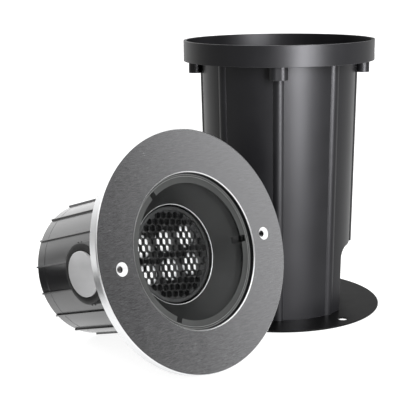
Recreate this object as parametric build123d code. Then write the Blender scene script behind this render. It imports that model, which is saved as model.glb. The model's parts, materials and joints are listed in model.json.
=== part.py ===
"""In-ground well light, shown as a set: a mounting sleeve that stands on its base plate, and the
sealed luminaire that drops into it, lying on its side in front with its face turned up.

Millimetres, +Z up. The origin is the centre of the base plate's underside. The luminaire is built
on its own axis, with its origin at the centre of the trim's face and +Z out of that face, and is
then laid down so that the trim's back edge and the rear cap's rim touch the ground.
"""

import os
from math import atan, ceil, cos, degrees, hypot, radians, sin

from build123d import *

# ---------------------------------------------------------------------------------------------
# Driving dimensions: mounting sleeve
# ---------------------------------------------------------------------------------------------
sleeve_height = 257.5  # base plate's underside to the collar's top
plate_thickness = 1.6
plate_margin = 30.6  # from the tapered wall's foot to the plate's edge
plate_edge = 0.4
anchor_hole_radius = 4.5
anchor_inset = 12.7  # from the plate's edge to the middle of a hole
anchor_angles = (45.0, 135.0, 225.0, 315.0)
drain_hole_radius = 9.0
drain_circle_radius = 30.0
drain_hole_count = 4

sleeve_neck_inset = 6.4  # from the bosses' middles to the tapered wall's top
sleeve_taper = 5.0  # how much narrower the wall is at its foot
sleeve_wall = 2.5
collar_gap = 1.0  # round the flange of the luminaire
collar_height = 19.0
collar_wall = 2.5
collar_ledge = 3.0

bead_count = 8
bead_radius = 6.6
bead_proud = 2.0

boss_count = 4
boss_height = 12.0  # below the collar
boss_width = 16.8
boss_depth = 12.6
boss_corner = 6.0
insert_outer_radius = 3.2
insert_bore_radius = 2.1
insert_length = 9.0

entry_half_width = 34.0  # cable entry arches at the foot
entry_height = 61.0
entry_corner = 10.0

lug_angles = (60.0, 120.0, 240.0, 300.0)
lug_radius = 5.0
lug_height = 14.0
plate_screw_radius = 1.3
plate_screw_length = 12.0
plate_screw_recess = 0.15
plate_screw_socket = 2.0  # hexagon across flats
plate_screw_socket_depth = 1.0

# ---------------------------------------------------------------------------------------------
# Driving dimensions: luminaire, measured down from the trim's face
# ---------------------------------------------------------------------------------------------
trim_overhang = 11.0  # past the collar of the sleeve
trim_cover = 2.5  # over the edge of the lens
trim_plate = 4.5
trim_skirt_depth = 8.0
trim_skirt_wall = 4.0
trim_edge_chamfer = 0.8
trim_hole_inset = 6.0  # from the wall round the lens seat to the holes' middles
trim_hole_radius = 2.65
trim_hole_angles = (0.0, 180.0)
countersink_radius = 5.5
stud_radius = 2.0
stud_end = 1.4  # past its nut
stud_angles = (45.0, 135.0, 225.0, 315.0)
nut_across_flats = 7.0
nut_height = 3.2

seal_thickness = 1.0
flange_margin = 7.5  # outside the holes' middles
flange_thickness = 4.0
flange_screw_clearance = 0.35

gasket_lip = 1.5
gasket_lip_edge = 0.6  # thickness that the lip tapers to
gasket_lip_shown = 7.9  # inside the trim's opening
gasket_under_lip = 1.0
gasket_under_inset = 1.5
gasket_side = 2.0
gasket_notch_depth = 4.4
lens_margin = 6.5  # outside the glare shield's wide end
lens_thickness = 4.0
lens_seat_clearance = 0.2

shield_thickness = 1.2
shield_margin = 2.5  # at its wide end, outside the can's bore
shield_lip_margin = 0.9  # round the lamp's bezel
shield_lip_gap = 1.4  # in front of the lamp's bezel
shield_bead_radius = 0.75  # rolled edge at the narrow end
slot_width = 5.5
slot_length = 8.0
slot_reach = 2.5  # how far the slots cut into the shield's flat rim
slot_angles = (0.0, 120.0, 240.0)

seat_step = 2.0  # from the shield's wide end to the can's bore under the seat
neck_wall = 3.8  # round the lens seat
neck_depth = 14.5
can_wall = 2.9
can_taper = 1.4
can_front_depth = 21.0
can_rear_wall = 6.5
can_depth = 134.0
joint_groove = 0.4  # where the rear cap meets the can

rib_count = 16
rib_width = 1.4
rib_proud = 1.5

pad_radius = 26.0
pad_depth = 72.5
pad_proud = 1.7
cover_radius = 19.3
cover_proud = 2.4
cover_spigot_radius = 14.0
cover_spigot_length = 2.0
cover_clearance = 0.2
cover_edge = 0.5

cap_depth = 11.0
cap_plate = 4.0
cap_rim_wall = 8.0
cap_spigot = 6.0
cap_spigot_clearance = 0.2
cap_web_count = 8
cap_web = 2.0
cap_web_height = 3.5
cap_screw_angles = (45.0, 135.0, 225.0, 315.0)
cap_screw_radius = 1.5
cap_screw_head_radius = 2.6
cap_screw_head = 2.4
cap_screw_sink = 0.4
cap_screw_length = 20.0
cap_screw_inset = 3.1
cap_screw_socket = 2.5  # hexagon across flats
cap_screw_socket_depth = 1.4
seal_ring_radius = 1.0
seal_ring_slack = 0.05

gland_hex = 22.0
gland_hex_height = 6.0
gland_thread_radius = 8.0
gland_bore_radius = 4.5
gland_nut_radius = 10.5
gland_nut_flat = 9.8
gland_nut_height = 13.0
gland_seal_wall = 1.8
gland_seal_sink = 1.0
gland_locknut_height = 4.0

# Aiming gimbal and lamp
tilt_depth = 44.0  # depth of the tilt axis
lamp_side_room = 4.5  # between a tilt boss and the pan ring
pan_ring_width = 10.7
pan_ring_thickness = 7.0
pan_clearance = 0.3
retainer_thickness = 1.6
retainer_groove = 1.1
retainer_slack = 0.1
retainer_width = 4.0
retainer_gap = 16.0
pivot_radius = 2.5
pivot_clearance = 0.08
pivot_collar_radius = 4.5
pivot_collar_gap = 0.3
pivot_end_gap = 0.5

lamp_front_reach = 13.8  # from the tilt axis to the bezel's face
lamp_rear_reach = 32.0  # from the tilt axis to the fins' ends
bezel_wall = 1.6
bezel_cover = 1.4  # over the lamp's wall
bezel_lip = 1.5
bezel_edge = 0.6
bezel_hold = 1.9  # how far it screws over the lamp's wall
lamp_wall = 2.0
lamp_joint_clearance = 0.15

louvre_thickness = 4.0
louvre_pitch = 6.35
louvre_wall = 0.55
louvre_rim = 1.0
louvre_turn = -10.0

optic_setback = 9.3  # from the bezel's face to the optics
optic_radius = 9.6
optic_root_radius = 4.5
optic_height = 8.5
optic_pitch = 24.0
optic_columns = 3
optic_rows = 2
optic_side_gap = 0.567
optic_holder = 2.0
tray_skirt = 1.0
inner_clearance = 0.2
led_size = 3.5
led_height = 0.8
board_thickness = 1.6

sink_floor = 4.0
sink_taper = 3.0
fin_count = 9
fin_thickness = 1.8
trunnion_radius = 5.5
trunnion_proud = 3.5

# Driver tray inside the can
driver_length = 50.0
driver_width = 34.0
driver_height = 28.0
driver_corner = 3.0
driver_margin = 2.0
driver_side_margin = 1.0
tray_thickness = 1.5
tray_leg = 10.0
tray_foot = 8.0
terminal_gap = 5.0
terminal_length = 30.0
terminal_width = 11.0
terminal_height = 12.0
terminal_poles = 3
terminal_hole_radius = 1.6
tray_screw_radius = 1.5
tray_screw_head_radius = 2.9
tray_screw_head = 1.8
tray_screw_bite = 3.0

# Where the luminaire lies beside the sleeve
luminaire_place = (-65.7, -182.1)
luminaire_heading = 47.7  # degrees from -Y towards +X

os.makedirs("parts", exist_ok=True)

# ---------------------------------------------------------------------------------------------
# Radii, worked outwards from the optics to the trim and the sleeve
# ---------------------------------------------------------------------------------------------
optic_layout_radius = hypot(optic_columns - 1, optic_rows - 1) * optic_pitch / 2
cup_radius = optic_layout_radius + optic_radius + optic_side_gap
lamp_radius = cup_radius + lamp_wall
bezel_radius = lamp_radius + bezel_wall
bezel_opening_radius = lamp_radius - bezel_cover
trunnion_reach = lamp_radius + trunnion_proud
pan_ring_inner_radius = trunnion_reach + lamp_side_room
pan_radius = pan_ring_inner_radius + pan_ring_width

can_bore_radius = pan_radius + pan_clearance
can_front_radius = can_bore_radius + can_wall
can_rear_radius = can_front_radius - can_taper
can_rear_bore_radius = can_rear_radius - can_rear_wall
cap_screw_circle_radius = can_rear_radius - cap_screw_inset
pad_face = can_front_radius + pad_proud

shield_top_radius = can_bore_radius + shield_margin
seat_inner_radius = shield_top_radius + seat_step
lens_radius = shield_top_radius + lens_margin
gasket_under_radius = shield_top_radius + gasket_under_inset
gasket_radius = lens_radius + gasket_side
seat_radius = gasket_radius + lens_seat_clearance
neck_radius = seat_radius + neck_wall
trim_hole_circle_radius = neck_radius + trim_hole_inset  # lines up with the sleeve's bosses
flange_radius = trim_hole_circle_radius + flange_margin
trim_opening_radius = lens_radius - trim_cover
gasket_opening_radius = trim_opening_radius - gasket_lip_shown

collar_radius = flange_radius + collar_gap + collar_wall
trim_radius = collar_radius + trim_overhang
sleeve_neck_radius = trim_hole_circle_radius - sleeve_neck_inset
sleeve_foot_radius = sleeve_neck_radius - sleeve_taper
plate_radius = sleeve_foot_radius + plate_margin
anchor_circle_radius = plate_radius - anchor_inset


# ---------------------------------------------------------------------------------------------
# Small helpers
# ---------------------------------------------------------------------------------------------
def turned(*points):
    """A solid of revolution about Z, from the (radius, height) corners of its half section."""
    outline = Polyline([(radius, 0, height) for radius, height in points], close=True)
    return revolve(make_face(outline), Axis.Z)


def ring(outer, inner, top, bottom):
    """A plain ring between two heights."""
    return turned((inner, top), (outer, top), (outer, bottom), (inner, bottom))


def rod(radius, top, bottom, x=0.0, y=0.0):
    """A vertical cylinder between two heights."""
    return Pos(x, y, bottom) * Cylinder(
        radius, top - bottom, align=(Align.CENTER, Align.CENTER, Align.MIN)
    )


def cross_rod(radius, inner, outer, height, angle):
    """A cylinder that lies along a radius, from one distance from the axis to another."""
    bar = Cylinder(radius, outer - inner, align=(Align.CENTER, Align.CENTER, Align.MIN))
    return Rot(0, 0, angle) * Pos(inner, 0, height) * Rot(0, 90, 0) * bar


def polar(radius, angle):
    """The (x, y) of a point at a radius and an angle in degrees."""
    return radius * cos(radians(angle)), radius * sin(radians(angle))


def spread(count, first=0.0):
    """Equally spaced angles round a full turn."""
    return [first + 360.0 * step / count for step in range(count)]


def block(length, width, top, bottom, x=0.0, y=0.0):
    """An upright block between two heights."""
    return Pos(x, y, bottom) * Box(
        length, width, top - bottom, align=(Align.CENTER, Align.CENTER, Align.MIN)
    )


def hex_socket(across_flats, mouth, depth, x, y):
    """A hexagonal socket that opens downwards at a height."""
    outline = RegularPolygon(across_flats / 2, 6, major_radius=False)
    return Pos(x, y, mouth) * extrude(outline, depth)


def save(name, *solids, place=Location()):
    """Writes one node, as one solid or as a group of separate solids."""
    placed = [place * solid for solid in solids]
    node = placed[0] if len(placed) == 1 else Compound(children=placed)
    node.label = name
    export_step(node, f"parts/{name}.step")


# ---------------------------------------------------------------------------------------------
# Mounting sleeve
# ---------------------------------------------------------------------------------------------
sleeve_foot = plate_thickness
collar_bottom = sleeve_height - collar_height
ledge_top = collar_bottom + collar_ledge
wall_run = collar_bottom - sleeve_foot
wall_slope = (sleeve_neck_radius - sleeve_foot_radius) / wall_run
lug_circle_radius = sleeve_foot_radius - sleeve_wall - lug_radius / 2


def sunk_screw(radius, length, recess=0.0):
    """A countersunk screw that points up, or with a recess the sunk hole that it sits in."""
    head_radius = 2 * radius
    return turned(
        (0, 0),
        (head_radius + recess, 0),
        (radius, head_radius + recess - radius),
        (radius, length),
        (0, length),
    )


def sleeve_radius(height):
    """The outside radius of the tapered wall at a height."""
    return sleeve_foot_radius + wall_slope * (height - sleeve_foot)


def wall_bead(angle):
    """One rounded bead, which leans with the tapered wall and stands proud of it."""
    taper = degrees(atan(wall_slope))
    foot = Pos(sleeve_foot_radius - bead_radius + bead_proud, 0, sleeve_foot) * Rot(0, taper, 0)
    bar = foot * rod(bead_radius, wall_run + bead_radius, -bead_radius)
    slab = ring(collar_radius, 0.0, collar_bottom + collar_ledge / 2, sleeve_foot)
    return Rot(0, 0, angle) * (bar & slab)


def fixing_boss(angle):
    """One boss under the collar, which holds a threaded insert."""
    outline = RectangleRounded(boss_depth, boss_width, boss_corner)
    x, y = polar(trim_hole_circle_radius, angle)
    boss = extrude(outline, ledge_top - collar_bottom + boss_height)
    return Pos(x, y, collar_bottom - boss_height) * Rot(0, 0, angle) * boss


def entry_cutter():
    """The arch that lets a cable through the foot of the wall."""
    opening = RectangleRounded(2 * entry_half_width, 2 * entry_height, entry_corner)
    profile = Plane.YZ.offset(sleeve_foot_radius / 2) * opening
    return Pos(0, 0, sleeve_foot) * extrude(profile, sleeve_foot_radius)


def plate_lug(angle):
    """An inner lug that takes a base plate screw."""
    x, y = polar(lug_circle_radius, angle)
    return rod(lug_radius, sleeve_foot + lug_height, sleeve_foot, x, y)


def mounting_sleeve():
    """The moulded sleeve: collar, tapered wall, beads, bosses, lugs and cable entries."""
    outside = turned(
        (0, sleeve_foot),
        (sleeve_foot_radius, sleeve_foot),
        (sleeve_neck_radius, collar_bottom),
        (collar_radius, collar_bottom),
        (collar_radius, sleeve_height),
        (0, sleeve_height),
    )
    inside = turned(
        (0, sleeve_foot),
        (sleeve_foot_radius - sleeve_wall, sleeve_foot),
        (sleeve_radius(ledge_top) - sleeve_wall, ledge_top),
        (collar_radius - collar_wall, ledge_top),
        (collar_radius - collar_wall, sleeve_height),
        (0, sleeve_height),
    )
    body = outside + [wall_bead(angle) for angle in spread(bead_count)]
    body += [fixing_boss(angle) for angle in spread(boss_count)]
    body -= inside
    wall_space = turned(
        (0, sleeve_foot),
        (sleeve_foot_radius - sleeve_wall / 2, sleeve_foot),
        (sleeve_radius(collar_bottom) - sleeve_wall / 2, collar_bottom),
        (0, collar_bottom),
    )
    body += [plate_lug(angle) & wall_space for angle in lug_angles]
    for angle in spread(boss_count):
        x, y = polar(trim_hole_circle_radius, angle)
        body -= rod(insert_outer_radius, ledge_top, ledge_top - insert_length, x, y)
    for angle in lug_angles:
        x, y = polar(lug_circle_radius, angle)
        body -= rod(plate_screw_radius, plate_screw_recess + plate_screw_length, sleeve_foot, x, y)
    arch = entry_cutter() & rod(collar_radius, sleeve_foot + entry_height, sleeve_foot)
    body -= arch
    body -= Rot(0, 0, 180) * arch
    return body


def base_plate():
    """The round foot, with anchor holes, a drain and sunk holes for its own screws."""
    plate = rod(plate_radius, plate_thickness, 0)
    plate = chamfer(plate.edges(), plate_edge)
    for angle in spread(drain_hole_count):
        x, y = polar(drain_circle_radius, angle)
        plate -= rod(drain_hole_radius, plate_thickness, 0, x, y)
    for angle in anchor_angles:
        x, y = polar(anchor_circle_radius, angle)
        plate -= rod(anchor_hole_radius, plate_thickness, 0, x, y)
    for angle in lug_angles:
        x, y = polar(lug_circle_radius, angle)
        plate -= Pos(x, y, 0) * sunk_screw(plate_screw_radius, plate_thickness, plate_screw_recess)
    return plate


def plate_screw(angle):
    """One countersunk screw from under the base plate into a lug."""
    x, y = polar(lug_circle_radius, angle)
    screw = Pos(x, y, plate_screw_recess) * sunk_screw(plate_screw_radius, plate_screw_length)
    return screw - hex_socket(plate_screw_socket, plate_screw_recess, plate_screw_socket_depth, x, y)


save("mounting_sleeve", mounting_sleeve())
save("base_plate", base_plate())
save("base_plate_screws", *[plate_screw(angle) for angle in lug_angles])
save(
    "threaded_inserts",
    *[
        Pos(*polar(trim_hole_circle_radius, angle), 0)
        * ring(insert_outer_radius, insert_bore_radius, ledge_top, ledge_top - insert_length)
        for angle in spread(boss_count)
    ],
)

# ---------------------------------------------------------------------------------------------
# Luminaire: levels down its axis
# ---------------------------------------------------------------------------------------------
trim_back = -trim_plate
flange_top = trim_back - seal_thickness
flange_bottom = flange_top - flange_thickness
lens_top = trim_back - gasket_lip
lens_bottom = lens_top - lens_thickness
gasket_bottom = lens_bottom - gasket_under_lip
seat = gasket_bottom - shield_thickness
bezel_depth = tilt_depth - lamp_front_reach
shield_lip_depth = bezel_depth - shield_lip_gap
pan_top = -tilt_depth + pan_ring_thickness / 2
pan_bottom = -tilt_depth - pan_ring_thickness / 2
pan_ledge = pan_bottom - pan_clearance
retainer_bottom = pan_top + pan_clearance
retainer_top = retainer_bottom + retainer_thickness
luminaire_depth = can_depth + cap_depth
cap_joint = -can_depth
rear = -luminaire_depth
stud_length = seal_thickness + flange_thickness + nut_height + stud_end
rib_angles = spread(rib_count, 180.0 / rib_count)


def can_radius(height):
    """The outside radius of the can's slightly tapered wall at a height."""
    along = (-height - can_front_depth) / (luminaire_depth - can_front_depth)
    return can_front_radius + (can_rear_radius - can_front_radius) * along


# The luminaire rests on the trim's back edge and on the two lowest ribs of the rear cap.
rib_turn = radians(180.0 / rib_count)
rear_contact = (can_rear_radius + rib_proud) * cos(rib_turn) + rib_width / 2 * sin(rib_turn)
lean = atan((trim_radius - rear_contact) / (luminaire_depth - trim_skirt_depth))
heading = radians(luminaire_heading)
face_direction = (sin(heading) * cos(lean), -cos(heading) * cos(lean), sin(lean))
face_right = (cos(heading), sin(heading), 0)
face_height = trim_skirt_depth * sin(lean) + trim_radius * cos(lean)
rest = Location(Plane((*luminaire_place, face_height), face_right, face_direction))


# ---------------------------------------------------------------------------------------------
# Trim, seals, lens and glare shield
# ---------------------------------------------------------------------------------------------
def trim_ring():
    """The stainless trim: flat face, turned-down edge, two countersunk holes and four studs."""
    ring_body = turned(
        (trim_opening_radius, -trim_edge_chamfer),
        (trim_opening_radius + trim_edge_chamfer, 0),
        (trim_radius - trim_edge_chamfer, 0),
        (trim_radius, -trim_edge_chamfer),
        (trim_radius, -trim_skirt_depth),
        (trim_radius - trim_skirt_wall, -trim_skirt_depth),
        (trim_radius - trim_skirt_wall, trim_back),
        (trim_opening_radius, trim_back),
    )
    sunk = countersink_radius - trim_hole_radius
    screw_hole = turned(
        (0, 0),
        (countersink_radius, 0),
        (trim_hole_radius, -sunk),
        (trim_hole_radius, trim_back),
        (0, trim_back),
    )
    for angle in trim_hole_angles:
        ring_body -= Pos(*polar(trim_hole_circle_radius, angle), 0) * screw_hole
    for angle in stud_angles:
        x, y = polar(trim_hole_circle_radius, angle)
        ring_body += rod(stud_radius, trim_back + trim_plate / 4, trim_back - stud_length, x, y)
    return ring_body


def with_flange_holes(solid, top, bottom):
    """The same solid with the clearance holes of the trim's studs and mounting screws."""
    for angle in stud_angles:
        x, y = polar(trim_hole_circle_radius, angle)
        solid -= rod(stud_radius + flange_screw_clearance, top, bottom, x, y)
    for angle in trim_hole_angles:
        x, y = polar(trim_hole_circle_radius, angle)
        solid -= rod(trim_hole_radius + flange_screw_clearance, top, bottom, x, y)
    return solid


def hex_nut(angle):
    """One nut on a trim stud, behind the flange."""
    outline = RegularPolygon(nut_across_flats / 2, 6, major_radius=False) - Circle(stud_radius)
    x, y = polar(trim_hole_circle_radius, angle)
    return Pos(x, y, flange_bottom - nut_height) * extrude(outline, nut_height)


def lens_gasket():
    """The moulded gasket round the edge of the lens, with three notches in its sloping lip."""
    gasket = turned(
        (gasket_opening_radius, lens_top + gasket_lip_edge),
        (trim_opening_radius, trim_back),
        (gasket_radius, trim_back),
        (gasket_radius, gasket_bottom),
        (gasket_under_radius, gasket_bottom),
        (gasket_under_radius, lens_bottom),
        (lens_radius, lens_bottom),
        (lens_radius, lens_top),
        (gasket_opening_radius, lens_top),
    )
    notch = block(2 * gasket_notch_depth, slot_width, trim_back, lens_top, gasket_opening_radius)
    for angle in slot_angles:
        gasket -= Rot(0, 0, angle) * notch
    return gasket


def glare_shield():
    """The conical shield in front of the lamp: rolled edge, three slots at its wide end."""
    lip_radius = bezel_radius + shield_lip_margin
    drop = shield_lip_depth + gasket_bottom
    slope = (shield_top_radius - lip_radius) / drop
    outward = shield_thickness * hypot(1, slope)
    shield = turned(
        (shield_top_radius, gasket_bottom),
        (gasket_radius, gasket_bottom),
        (gasket_radius, seat),
        (shield_top_radius + outward - slope * shield_thickness, seat),
        (lip_radius + outward, -shield_lip_depth),
        (lip_radius, -shield_lip_depth),
    )
    bead_centre = Pos(lip_radius + shield_bead_radius, -shield_lip_depth)
    shield += revolve(Plane.XZ * bead_centre * Circle(shield_bead_radius), Axis.Z)
    slot_bottom = gasket_bottom - slot_length * drop / hypot(drop, slope * drop)
    slot = block(shield_top_radius, slot_width, gasket_bottom, slot_bottom, shield_top_radius / 2)
    slot = Pos(slot_reach, 0, 0) * slot
    for angle in slot_angles:
        shield -= Rot(0, 0, angle) * slot
    return shield


save("trim_ring", trim_ring(), place=rest)
save(
    "trim_seal",
    with_flange_holes(ring(flange_radius, seat_radius, trim_back, flange_top), trim_back, flange_top),
    place=rest,
)
save("trim_nuts", *[hex_nut(angle) for angle in stud_angles], place=rest)
save("lens_gasket", lens_gasket(), place=rest)
save("glass_lens", ring(lens_radius, 0.0, lens_top, lens_bottom), place=rest)
save("glare_shield", glare_shield(), place=rest)


# ---------------------------------------------------------------------------------------------
# Housing
# ---------------------------------------------------------------------------------------------
def wall_rib(angle, top, bottom):
    """One thin rib along the can, which follows its taper."""
    root = can_rear_radius - rib_proud
    outline = Polyline(
        (root, 0, top),
        (can_radius(top) + rib_proud, 0, top),
        (can_radius(bottom) + rib_proud, 0, bottom),
        (root, 0, bottom),
        close=True,
    )
    return Rot(0, 0, angle) * extrude(make_face(outline), rib_width / 2, both=True)


def side_pad():
    """The flat raised pad on the can's side, round at its end and open to the flange."""
    run = pad_depth - neck_depth
    outline = Circle(pad_radius) + Pos(run / 2, 0) * Rectangle(run, 2 * pad_radius)
    face_plane = Plane((-pad_face, 0, -pad_depth), x_dir=(0, 0, 1), z_dir=(1, 0, 0))
    return extrude(face_plane * outline, pad_face - can_bore_radius / 2)


def canister_housing():
    """The ribbed can with its flange, lens seat, gimbal ledge and side pad."""
    outside = turned(
        (0, flange_top),
        (flange_radius, flange_top),
        (flange_radius, flange_bottom),
        (neck_radius, flange_bottom),
        (neck_radius, -neck_depth),
        (can_front_radius, -can_front_depth),
        (can_radius(cap_joint), cap_joint + joint_groove),
        (can_radius(cap_joint) - joint_groove, cap_joint),
        (0, cap_joint),
    )
    inside = turned(
        (0, trim_back),
        (seat_radius, trim_back),
        (seat_radius, seat),
        (seat_inner_radius, seat),
        (seat_inner_radius, -neck_depth),
        (can_bore_radius, -can_front_depth),
        (can_bore_radius, retainer_top),
        (can_bore_radius + retainer_groove, retainer_top),
        (can_bore_radius + retainer_groove, retainer_bottom),
        (can_bore_radius, retainer_bottom),
        (can_bore_radius, pan_ledge),
        (can_rear_bore_radius, pan_ledge),
        (can_rear_bore_radius, cap_joint),
        (0, cap_joint),
    )
    housing = outside + [wall_rib(angle, -can_front_depth, cap_joint) for angle in rib_angles]
    housing += side_pad()
    housing -= inside
    housing -= cover_hole()
    housing = with_flange_holes(housing, flange_top, flange_bottom)
    for angle in cap_screw_angles:
        x, y = polar(cap_screw_circle_radius, angle)
        housing -= rod(cap_screw_radius, cap_joint + cap_screw_depth, cap_joint, x, y)
    return housing


def cover_hole():
    """The blind recess in the pad that holds the side cover's spigot."""
    hole = Cylinder(
        cover_spigot_radius + cover_clearance,
        cover_spigot_length + cover_clearance,
        align=(Align.CENTER, Align.CENTER, Align.MIN),
    )
    return Pos(-pad_face, 0, -pad_depth) * Rot(0, 90, 0) * hole


def side_cover():
    """The plain round cover plate on the pad."""
    plate = Cylinder(cover_radius, cover_proud, align=(Align.CENTER, Align.CENTER, Align.MAX))
    plate = chamfer(plate.edges().sort_by(Axis.Z)[0], cover_edge)
    spigot = Cylinder(
        cover_spigot_radius, cover_spigot_length, align=(Align.CENTER, Align.CENTER, Align.MIN)
    )
    return Pos(-pad_face, 0, -pad_depth) * Rot(0, 90, 0) * (plate + spigot)


tray_length = driver_margin + driver_length + terminal_gap + terminal_width + tray_foot
tray_screw_reach = (tray_length - tray_foot - tray_thickness) / 2
tray_screw_places = (-tray_screw_reach, tray_screw_reach)
cap_screw_depth = cap_screw_length - (cap_depth - cap_screw_head)
cap_plate_bottom = cap_joint - cap_plate
spigot_radius = can_rear_bore_radius - cap_spigot_clearance
groove_floor = can_rear_bore_radius - seal_ring_slack - 2 * seal_ring_radius
groove_middle = cap_joint + cap_spigot / 2


def rear_cap():
    """The rear cap: ribbed rim, recessed plate with webs, spigot, screw and gland holes."""
    inner_rim = can_rear_radius - cap_rim_wall
    cap = turned(
        (0, cap_joint),
        (spigot_radius - cap_plate, cap_joint),
        (spigot_radius - cap_plate, cap_joint + cap_spigot),
        (spigot_radius, cap_joint + cap_spigot),
        (spigot_radius, groove_middle + seal_ring_radius),
        (groove_floor, groove_middle + seal_ring_radius),
        (groove_floor, groove_middle - seal_ring_radius),
        (spigot_radius, groove_middle - seal_ring_radius),
        (spigot_radius, cap_joint),
        (can_radius(cap_joint) - joint_groove, cap_joint),
        (can_radius(cap_joint), cap_joint - joint_groove),
        (can_radius(rear), rear),
        (inner_rim, rear),
        (inner_rim, cap_plate_bottom),
        (0, cap_plate_bottom),
    )
    cap += [wall_rib(angle, cap_joint, rear) for angle in rib_angles]
    web_inner = gland_hex * 0.75
    web_length = inner_rim + cap_rim_wall / 4 - web_inner
    web = block(
        web_length,
        cap_web,
        cap_plate_bottom + cap_plate / 4,
        cap_plate_bottom - cap_web_height,
        web_inner + web_length / 2,
    )
    for angle in spread(cap_web_count, 180.0 / cap_web_count):
        cap += Rot(0, 0, angle) * web
    for angle in cap_screw_angles:
        x, y = polar(cap_screw_circle_radius, angle)
        cap -= rod(cap_screw_radius, cap_joint, rear, x, y)
        cap -= rod(cap_screw_head_radius, rear + cap_screw_head, rear, x, y)
    for x in tray_screw_places:
        cap -= rod(tray_screw_radius, cap_joint, cap_joint - tray_screw_bite, x)
    return cap - rod(gland_thread_radius, cap_joint, cap_plate_bottom)


def cap_screw(angle):
    """One screw that holds the rear cap, its head sunk in the rim."""
    x, y = polar(cap_screw_circle_radius, angle)
    head_top = rear + cap_screw_head
    head_bottom = rear + cap_screw_sink
    head = rod(cap_screw_head_radius, head_top, head_bottom, x, y)
    head -= hex_socket(cap_screw_socket, head_bottom, cap_screw_socket_depth, x, y)
    return head + rod(cap_screw_radius, head_top + cap_screw_length, head_top, x, y)


def cap_seal():
    """The square seal ring in the groove of the cap's spigot."""
    outer = groove_floor + 2 * seal_ring_radius
    return ring(outer, groove_floor, groove_middle + seal_ring_radius, groove_middle - seal_ring_radius)


save("canister_housing", canister_housing(), place=rest)
save("side_cover", side_cover(), place=rest)
save("rear_cap", rear_cap(), place=rest)
save("rear_cap_seal", cap_seal(), place=rest)
save("rear_cap_screws", *[cap_screw(angle) for angle in cap_screw_angles], place=rest)


# ---------------------------------------------------------------------------------------------
# Cable gland
# ---------------------------------------------------------------------------------------------
gland_top = cap_joint + gland_locknut_height
gland_hex_bottom = cap_plate_bottom - gland_hex_height
gland_end = gland_hex_bottom - gland_nut_height


def gland_body():
    """The gland's hexagon with its threaded ends and bore."""
    hexagon = extrude(RegularPolygon(gland_hex / 2, 6, major_radius=False), gland_hex_height)
    body = Pos(0, 0, gland_hex_bottom) * hexagon
    body += rod(gland_thread_radius, gland_top, gland_end + gland_nut_height / 3)
    return body - rod(gland_bore_radius + gland_seal_wall, gland_top, gland_end)


def gland_nut():
    """The nut with a bevelled end that squeezes the gland's seal."""
    nut = rod(gland_nut_radius, gland_hex_bottom, gland_end)
    nut = chamfer(nut.edges().sort_by(Axis.Z)[0], gland_nut_radius / 3)
    nut -= rod(gland_thread_radius, gland_hex_bottom, gland_end + gland_nut_height / 3)
    nut -= rod(gland_bore_radius + gland_seal_wall, gland_hex_bottom, gland_end)
    for angle in spread(6):
        flat = block(
            gland_nut_radius,
            3 * gland_nut_radius,
            gland_hex_bottom,
            gland_end,
            gland_nut_flat + gland_nut_radius / 2,
        )
        nut -= Rot(0, 0, angle) * flat
    return nut


def gland_locknut():
    """The nut inside the can that holds the gland."""
    outline = RegularPolygon(gland_hex / 2, 6, major_radius=False) - Circle(gland_thread_radius)
    return Pos(0, 0, cap_joint) * extrude(outline, gland_locknut_height)


save("gland_body", gland_body(), place=rest)
save("gland_nut", gland_nut(), place=rest)
save(
    "gland_seal",
    ring(gland_bore_radius + gland_seal_wall, gland_bore_radius, gland_top, gland_end + gland_seal_sink),
    place=rest,
)
save("gland_locknut", gland_locknut(), place=rest)


# ---------------------------------------------------------------------------------------------
# Gimbal
# ---------------------------------------------------------------------------------------------
pivot_angles = (90.0, 270.0)


def pan_ring():
    """The ring that turns in the can and carries the tilt pivots."""
    body = ring(pan_radius, pan_ring_inner_radius, pan_top, pan_bottom)
    for angle in pivot_angles:
        body -= cross_rod(pivot_radius, pan_ring_inner_radius / 2, pan_radius, -tilt_depth, angle)
    return body


def pivot_pin(angle):
    """One tilt pivot: a pin fixed in the pan ring, with a collar that centres the lamp."""
    tip = cup_radius + pivot_end_gap
    pin = cross_rod(pivot_radius, tip, pan_radius - pivot_end_gap, -tilt_depth, angle)
    collar = cross_rod(
        pivot_collar_radius,
        trunnion_reach + pivot_collar_gap,
        pan_ring_inner_radius,
        -tilt_depth,
        angle,
    )
    collar &= ring(pan_ring_inner_radius, 0.0, 0.0, rear)
    return pin + collar


def pan_retainer():
    """The open spring ring that keeps the pan ring on its ledge."""
    outer = can_bore_radius + retainer_groove - retainer_slack
    body = ring(outer, outer - retainer_width, retainer_top, retainer_bottom)
    return body - block(trim_radius, retainer_gap, retainer_top, retainer_bottom, trim_radius / 2)


save("pan_ring", pan_ring(), place=rest)
save("tilt_pivots", *[pivot_pin(angle) for angle in pivot_angles], place=rest)
save("pan_retainer", pan_retainer(), place=rest)

# ---------------------------------------------------------------------------------------------
# Lamp
# ---------------------------------------------------------------------------------------------
louvre_top = -bezel_depth - bezel_lip
louvre_bottom = louvre_top - louvre_thickness
louvre_radius = bezel_radius - (bezel_radius - lamp_radius) / 2 - lamp_joint_clearance
optic_top = -bezel_depth - optic_setback
optic_bottom = optic_top - optic_height
board_top = optic_bottom - led_height
board_bottom = board_top - board_thickness
sink_floor_bottom = board_bottom - sink_floor
inner_radius = cup_radius - inner_clearance
optic_centres = [
    ((column - (optic_columns - 1) / 2) * optic_pitch, (row - (optic_rows - 1) / 2) * optic_pitch)
    for row in range(optic_rows)
    for column in range(optic_columns)
]
sink_rear = -tilt_depth - lamp_rear_reach


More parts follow.
